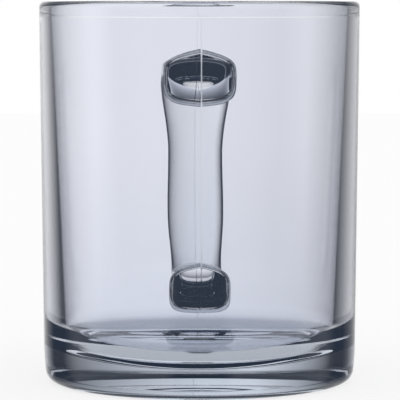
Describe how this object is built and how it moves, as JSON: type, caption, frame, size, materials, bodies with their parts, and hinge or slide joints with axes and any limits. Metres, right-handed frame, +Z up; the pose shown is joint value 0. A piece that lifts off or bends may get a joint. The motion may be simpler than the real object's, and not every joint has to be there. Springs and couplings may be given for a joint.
{
  "type": "glass mug",
  "caption": "Clear pressed-glass mug with a straight, slightly tapered wall, thick base and rounded lip, and a solid strap handle joined to the wall at two pads.",
  "frame": {"origin": "the mug's axis at the plane that its foot ring stands on", "axes": "+Z up along the mug's axis, +Y towards the handle, and +X across the handle"},
  "size_m": [0.08, 0.1128, 0.095],
  "materials": {
    "clear_glass": "fire-polished clear soda-lime glass with a faint cool tint",
    "handle_glass": "fire-polished clear soda-lime glass with a faint cool tint"
  },
  "bodies": {
    "root": {"mug_body": "clear_glass", "handle": "handle_glass"}
  },
  "joints": []
}
